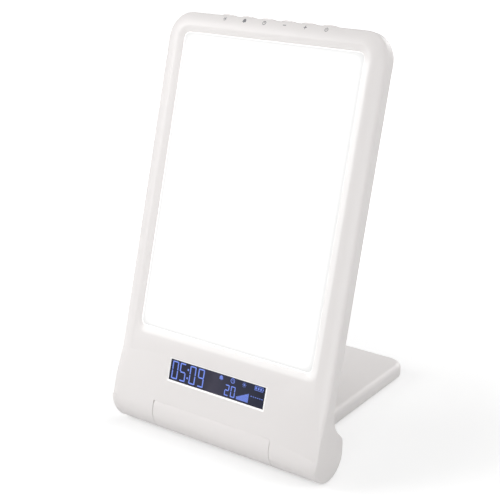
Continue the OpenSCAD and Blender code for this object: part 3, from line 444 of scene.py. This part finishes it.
def roll_profile(turn):
    """Points (x, radius) of a roll end from its domed face over its rounding to its back."""
    near = min(turn - ROLL_TO, ROLL_FROM - turn) / FADE_ANGLE
    fade = min(max(near, 0), 1)
    fade = fade * fade * (3 - 2 * fade)
    fillet = LEAST_FILLET + MORE_FILLET * fade
    rings = DOME_RINGS + (ROLL_R - fillet,)
    points = [(HALF_W - ROLL_DOME * fade * (r / ROLL_R) ** DOME_POWER, r) for r in rings]
    rim_x = points[-1][0]
    for k in range(1, FILLET_STEPS + 1):
        a = FILLET_STEP * k
        points.append((rim_x - fillet * (1 - math.cos(a)), ROLL_R - fillet * (1 - math.sin(a))))
    return points + [(HALF_W - CAP_T, ROLL_R)]


def roll_end(side, sign):
    """The roll's end with a domed face; dome and rounding fade out beside the flat cheeks."""
    shape = bmesh.new()

    def point(x, y, z):
        return shape.verts.new(LEANING @ Vector((sign * x, y, z)))

    front = point(HALF_W, ROLL_MIDDLE, ROLL_MIDDLE)
    rear = point(HALF_W - CAP_T, ROLL_MIDDLE, ROLL_MIDDLE)
    columns = []
    for i in range(ROLL_STEPS + 1):
        turn = ROLL_FROM + (ROLL_TO - ROLL_FROM) * i / ROLL_STEPS
        columns.append(
            [point(x, r * math.cos(turn), r * math.sin(turn)) for x, r in roll_profile(turn)]
        )
    for here, after in zip(columns, columns[1:]):
        shape.faces.new((front, here[0], after[0]))
        shape.faces.new((rear, after[-1], here[-1]))
        for a, b, c, d in zip(here, here[1:], after[1:], after):
            shape.faces.new((a, b, c, d))
    for column in (columns[0], columns[-1]):
        shape.faces.new([front] + column + [rear])
    bmesh.ops.recalc_face_normals(shape, faces=shape.faces)
    for face in shape.faces:
        face.smooth = len(face.verts) < 5
    for edge in shape.edges:
        edge.smooth = edge.calc_face_angle(0) < ROLL_SHARP_OVER
    name = "roll_end_" + side
    add_piece(name, mesh_of(shape, name), "housing", shell, ("roll_cap_" + side,))


roll_end("left", -1)
roll_end("right", 1)
for key in KEYS:
    names = (key + "_key", key + "_cap", key + "_button")
    softened(*names, "key_plastic", LOOKS["key_plastic"], KEY_ROUNDING)


# ---- outlines of digits and signs, in millimetres ----

SEGMENTS = {"0": "abcdef", "2": "abged", "5": "afgcd", "9": "abcdfg"}
SEGMENT_GAP = 0.28
SIGN_ARM, SIGN_STROKE = 1.1, 0.42


def bar(x0, y0, x1, y1, w):
    """A straight stroke with flat ends."""
    d = Vector((x1 - x0, y1 - y0)).normalized() * (w / 2)
    n = Vector((-d.y, d.x))
    return [(x0 + n.x, y0 + n.y), (x0 - n.x, y0 - n.y), (x1 - n.x, y1 - n.y), (x1 + n.x, y1 + n.y)]


def block(x, y, w, h):
    """A rectangle with its lower left corner at (x, y)."""
    return [(x, y), (x + w, y), (x + w, y + h), (x, y + h)]


def disc(x, y, r, steps):
    turns = [2 * math.pi * i / steps for i in range(steps)]
    return [(x + r * math.cos(a), y + r * math.sin(a)) for a in turns]


def stroke_arc(x, y, r, w, start, end, steps):
    """A curved stroke as short quads."""
    turns = [math.radians(start + (end - start) * i / steps) for i in range(steps + 1)]
    return [
        [
            (x + (r + s * w / 2) * math.cos(t), y + (r + s * w / 2) * math.sin(t))
            for t, s in ((a, 1), (b, 1), (b, -1), (a, -1))
        ]
        for a, b in zip(turns, turns[1:])
    ]


def digit(char, x, y, w, h, t):
    """Seven-segment digit with its lower left corner at (x, y) and strokes t wide."""
    middle = y + h / 2
    gap = t * SEGMENT_GAP
    left, right = x + t / 2, x + w - t / 2
    low, high = y + t / 2, y + h - t / 2
    lines = {
        "a": (left + gap, high, right - gap, high),
        "g": (left + gap, middle, right - gap, middle),
        "d": (left + gap, low, right - gap, low),
        "f": (left, middle + gap, left, y + h - gap),
        "b": (right, middle + gap, right, y + h - gap),
        "e": (left, y + gap, left, middle - gap),
        "c": (right, y + gap, right, middle - gap),
    }
    return [bar(*lines[s], t) for s in SEGMENTS[char]]


def number(chars, lefts, **shape):
    """Digits in a row, each from its own left edge."""
    return [line for char, left in zip(chars, lefts) for line in digit(char, left, **shape)]


def bell(x, y, s):
    turns = [math.pi * i / 8 for i in range(9)]
    dome = [(x + s * 0.42 * math.cos(a), y + s * (0.05 + 0.45 * math.sin(a))) for a in turns]
    skirt = [(x - s * 0.5, y - s * 0.3), (x + s * 0.5, y - s * 0.3)]
    return [dome + skirt, disc(x, y - s * 0.42, s * 0.1, 8)]


def clock(x, y, s):
    hands = [bar(x, y, x, y + s * 0.27, s * 0.1), bar(x, y, x + s * 0.22, y, s * 0.1)]
    return stroke_arc(x, y, s * 0.42, s * 0.13, 0, 360, 16) + hands


def sun(x, y, s):
    rays = []
    for i in range(8):
        dx, dy = s * math.cos(math.pi * i / 4), s * math.sin(math.pi * i / 4)
        rays.append(bar(x + 0.32 * dx, y + 0.32 * dy, x + 0.5 * dx, y + 0.5 * dy, s * 0.1))
    return [disc(x, y, s * 0.2, 12)] + rays


def battery_sign(x, y, s):
    w, h, t = s * 1.6, s * 0.66, s * 0.08
    left, right, low, high = x - w / 2, x + w / 2, y - h / 2, y + h / 2
    sides = [
        bar(left, high, right, high, t), bar(left, low, right, low, t),
        bar(left, low, left, high, t), bar(right, low, right, high, t),
    ]
    terminal = block(right + t / 2, y - h * 0.2, t, h * 0.4)
    cells = [block(left + t * 1.2 + i * w * 0.3, y - h * 0.28, w * 0.2, h * 0.56) for i in range(3)]
    return sides + [terminal] + cells


def minus_sign(x, y):
    return [bar(x - SIGN_ARM, y, x + SIGN_ARM, y, SIGN_STROKE)]


def plus_sign(x, y):
    """The upright stroke is in two parts, so that nothing overlaps."""
    upper = bar(x, y + SIGN_ARM, x, y + SIGN_STROKE / 2, SIGN_STROKE)
    lower = bar(x, y - SIGN_STROKE / 2, x, y - SIGN_ARM, SIGN_STROKE)
    return minus_sign(x, y) + [upper, lower]


def power_sign(x, y):
    """An open ring with its gap on top, and a stroke in the gap."""
    return stroke_arc(x, y, 1.0, 0.32, 125, 415, 14) + [bar(x, y + 0.1, x, y + 1.35, 0.34)]


# ---- thin solids ----


def band(shape, here, after):
    """Faces between two closed rows of points."""
    for i in range(len(here)):
        j = (i + 1) % len(here)
        shape.faces.new((here[i], here[j], after[j], after[i]))


def flat_shapes(name, outlines, place, thick, look):
    """Thin solids from outlines; place turns (x, y, height) into a point in the panel's frame."""
    shape = bmesh.new()
    for outline in outlines:
        low, high = [
            [shape.verts.new(LEANING @ Vector(place(x, y, height))) for x, y in outline]
            for height in (0.0, thick)
        ]
        shape.faces.new(high)
        shape.faces.new(low[::-1])
        band(shape, low, high)
    bmesh.ops.recalc_face_normals(shape, faces=shape.faces)
    add_piece(name, mesh_of(shape, name), "housing", look)


def framed(name, loops, look):
    """A closed ring that joins rectangles round the display, ((left, low, right, high), height)."""
    shape = bmesh.new()
    rows = []
    for (left, low, right, high), height in loops:
        corners = ((left, low), (right, low), (right, high), (left, high))
        places = [Vector((x, DISPLAY_V + y, FRONT_Z + height)) for x, y in corners]
        rows.append([shape.verts.new(LEANING @ place) for place in places])
    for row, after in zip(rows, rows[1:] + rows[:1]):
        band(shape, row, after)
    bmesh.ops.recalc_face_normals(shape, faces=shape.faces)
    add_piece(name, mesh_of(shape, name), "housing", look)


# ---- the display: plain numbers and signs, measured from the middle of its window ----

INK_THICK, INK_LIFT = 0.05, 0.01
TALL_DIGIT = {"y": -6.2, "w": 4.8, "h": 11.4, "t": 0.8}
SMALL_DIGIT = {"y": -6.1, "w": 3.4, "h": 6.8, "t": 0.62}
HOUR_LEFTS, MINUTE_LEFTS, COUNT_LEFTS = (-35.0, -28.9), (-21.0, -14.4), (7.0, 11.6)
COLON_LEFT, COLON_LOWS, COLON_W, COLON_H = -22.9, (1.4, -3.8), 1.0, 1.2
WEDGE_LEFT, WEDGE_LOW, WEDGE_BARS, WEDGE_PITCH = 16.4, -6.2, 12, 0.74
WEDGE_BAR_W, WEDGE_LEAST_H, WEDGE_MORE_H = 0.64, 1.7, 0.34
DASH_LEFT, DASH_LOW, DASHES, DASH_PITCH = 26.6, -1.9, 6, 1.6
DASH_W, DASH_H = 1.0, 0.45


def on_window(x, y, height):
    """A sign on the glass; y is measured from the middle of the window."""
    return (x, DISPLAY_V + y, WINDOW_Z + INK_LIFT + height)


def level_wedge():
    return [
        block(WEDGE_LEFT + i * WEDGE_PITCH, WEDGE_LOW, WEDGE_BAR_W, WEDGE_LEAST_H + i * WEDGE_MORE_H)
        for i in range(WEDGE_BARS)
    ]


def dashes():
    return [block(DASH_LEFT + i * DASH_PITCH, DASH_LOW, DASH_W, DASH_H) for i in range(DASHES)]


lit = number("05", HOUR_LEFTS, **TALL_DIGIT) + number("09", MINUTE_LEFTS, **TALL_DIGIT)
lit += [block(COLON_LEFT, low, COLON_W, COLON_H) for low in COLON_LOWS]
lit += number("20", COUNT_LEFTS, **SMALL_DIGIT)
flat_shapes("display_segments", lit, on_window, INK_THICK, segment_look)

dim = bell(3.3, 3.7, 2.9) + clock(12.1, 3.9, 3.3) + sun(20.9, 3.7, 3.0)
dim += battery_sign(31.8, 4.0, 3.7) + level_wedge() + dashes()
flat_shapes("display_small_signs", dim, on_window, INK_THICK, faint_look)


# ---- round the display: a flat margin, and inside it a surround that slopes down to the glass ----

MARGIN_OUTSIDE, MARGIN_INSIDE = (-38.6, -8.6, 38.6, 8.6), (-37.3, -8.5, 37.9, 6.7)
MARGIN_TOP, MARGIN_FOOT = 0.012, -0.06
SURROUND_EDGE, SURROUND_FOOT = (-37.35, -8.52, 37.95, 6.75), (-36.65, -7.35, 36.65, 5.97)
SURROUND_BACK = (-37.4, -7.4, 37.4, 7.4)
SLOPE_FOOT, SURROUND_DOWN = -0.45, -0.492

margin = (
    (MARGIN_OUTSIDE, MARGIN_TOP), (MARGIN_INSIDE, MARGIN_TOP),
    (MARGIN_INSIDE, MARGIN_FOOT), (MARGIN_OUTSIDE, MARGIN_FOOT),
)
surround = (
    (SURROUND_EDGE, 0.0), (SURROUND_FOOT, SLOPE_FOOT),
    (SURROUND_FOOT, SURROUND_DOWN), (SURROUND_BACK, SURROUND_DOWN),
)
framed("display_margin", margin, shell)
framed("display_surround", surround, border_painted_highlight_look)


# ---- signs on the crown below the keys ----

SIGN_DOWN, SIGN_SIZE = 2.4, 2.6
SIGN_THICK, SIGN_LIFT = 0.03, 0.02


def on_crown(x, y, height):
    """A sign on the crown's curve; y is the distance below the top edge."""
    run = CROWN_W - y
    rise = math.sqrt(CROWN_R**2 - run * run)
    scale = (CROWN_R + SIGN_LIFT + height) / CROWN_R
    return (x, PANEL_L - CROWN_W + run * scale, FRONT_Z - CROWN_R + rise * scale)


def flipped(outlines):
    """Signs are drawn with y upwards, and on_crown counts downwards from the edge."""
    return [[(x, 2 * SIGN_DOWN - y) for x, y in outline][::-1] for outline in outlines]


sun_x, bell_x, clock_x, minus_x, plus_x, power_x = KEY_X
signs = sun(sun_x, SIGN_DOWN, SIGN_SIZE) + bell(bell_x, SIGN_DOWN, SIGN_SIZE)
signs += clock(clock_x, SIGN_DOWN, SIGN_SIZE) + minus_sign(minus_x, SIGN_DOWN)
signs += plus_sign(plus_x, SIGN_DOWN) + power_sign(power_x, SIGN_DOWN)
flat_shapes("key_signs", flipped(signs), on_crown, SIGN_THICK, label_look)


# ---- floor: white to the camera, and a little weaker near the lamp, where its shadow lies ----

FLOOR_HALF = 6.0
FLOOR_SHADES = ((0.6, 0.6, 0.6), (0.62, 0.62, 0.62))
GLOW_FROM, GLOW_TO = 0.1, 0.4
NEAR_GLOW, FAR_GLOW = 0.49, 1.0

floor_mesh = bpy.data.meshes.new("floor")
corners = [(x * FLOOR_HALF, y * FLOOR_HALF, 0) for x, y in ((-1, -1), (1, -1), (1, 1), (-1, 1))]
floor_mesh.from_pydata(corners, [], [(0, 1, 2, 3)])
floor = bpy.data.objects.new("floor", floor_mesh)
bpy.context.collection.objects.link(floor)
floor_look = Look("pale_floor")
floor_look.put(floor_look.tint(floor_look.noise(3.0), *FLOOR_SHADES), "Base Color")
away = floor_look.add("ShaderNodeVectorMath", operation="LENGTH")
floor_look.link(floor_look.coords, away.inputs[0])
further = floor_look.mapped(away.outputs["Value"], GLOW_FROM, GLOW_TO, NEAR_GLOW, FAR_GLOW, SMOOTH)
glow = floor_look.calc("MULTIPLY", floor_look.background_rays(), further)
floor_look.put(glow, "Emission Strength")
floor_look.set(Roughness=0.8, Emission_Color=(1, 1, 1, 1), Specular_IOR_Level=0.1)
floor_mesh.materials.append(floor_look.material)


# ---- world: soft light, and white where the background shows ----

SKY_LIGHT = 0.26

world = bpy.data.worlds.new("studio")
scene.world = world
world.use_nodes = True
sky = Tree(world.node_tree)
soft = sky.tree.nodes["Background"]
soft.inputs["Color"].default_value = (1, 1, 1, 1)
soft.inputs["Strength"].default_value = SKY_LIGHT
white = sky.add("ShaderNodeBackground", Color=(1, 1, 1, 1), Strength=1.0)
mixed = sky.add("ShaderNodeMixShader")
sky.link(sky.background_rays(), mixed.inputs[0])
sky.link(soft.outputs[0], mixed.inputs[1])
sky.link(white.outputs[0], mixed.inputs[2])
sky.link(mixed.outputs[0], sky.tree.nodes["World Output"].inputs["Surface"])


# ---- lamps and camera ----


def area(name, place, target, size, power):
    light = bpy.data.lights.new(name, "AREA")
    light.size = size
    light.energy = power
    lamp = bpy.data.objects.new(name, light)
    bpy.context.collection.objects.link(lamp)
    lamp.location = place
    aim = Vector(target) - Vector(place)
    lamp.rotation_euler = aim.to_track_quat("-Z", "Y").to_euler()


area("key_light", (-0.74, -0.68, 0.62), (0, 0, 0.12), 0.6, 6.6)
area("fill_light", (0.62, -1.4, 0.38), (0, 0, 0.1), 0.6, 5.9)
area("side_light", (0.95, 0.1, 0.55), (0.08, 0, 0.2), 0.4, 2.9)
area("back_light", (0.15, 1.4, 0.6), (0, 0, 0.12), 0.8, 6.2)
area("top_light", (0.1, 0.2, 1.8), (0, 0, 0), 1.2, 3.4)

# The photograph's camera, fitted to the panel's and the stand's corners; its place is in metres
# from the point on the floor below the middle of the hinge
AZIMUTH, ELEVATION = math.radians(36.88), math.radians(18.5)
CAMERA_PLACE = (0.43808, -0.55184, 0.36476)
camera_data = bpy.data.cameras.new("camera")
camera_data.sensor_width = 36.0
camera_data.lens = 90.24
camera_data.shift_x = -0.0093
camera_data.shift_y = 0.0003
camera = bpy.data.objects.new("camera", camera_data)
bpy.context.collection.objects.link(camera)
camera.location = Vector((0, HINGE.y, 0)) + Vector(CAMERA_PLACE)
camera.rotation_euler = Euler((math.pi / 2 - ELEVATION, 0, AZIMUTH), "XYZ")
scene.camera = camera

scene.view_settings.view_transform = "Standard"
